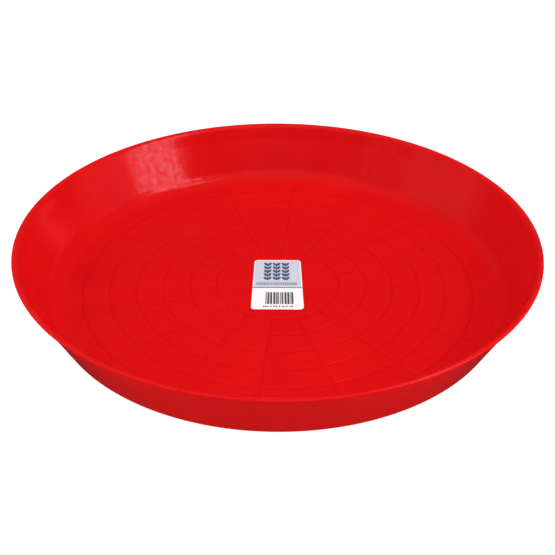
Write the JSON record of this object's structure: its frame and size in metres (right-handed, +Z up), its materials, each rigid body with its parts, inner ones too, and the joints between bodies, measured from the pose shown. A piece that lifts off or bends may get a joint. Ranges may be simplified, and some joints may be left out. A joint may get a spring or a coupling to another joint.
{
  "type": "poultry feeding tray",
  "caption": "Round shallow open feeding tray with a flared wall, an out-turned lip and a floor with shallow grooves, for feed scattered to young poultry.",
  "frame": {"origin": "centre of the foot ring, on the surface that the tray stands on", "axes": "+Z up out of the dish, along the axis of the round pan; the label's long side runs along Y and its printed foot points to -Y"},
  "size_m": [0.4, 0.4, 0.047],
  "materials": {
    "red_plastic": "bright red moulded polypropylene, semi-gloss",
    "label_face": "white printed adhesive label, satin"
  },
  "bodies": {
    "root": {"pan": "red_plastic", "label": "label_face"}
  },
  "joints": []
}
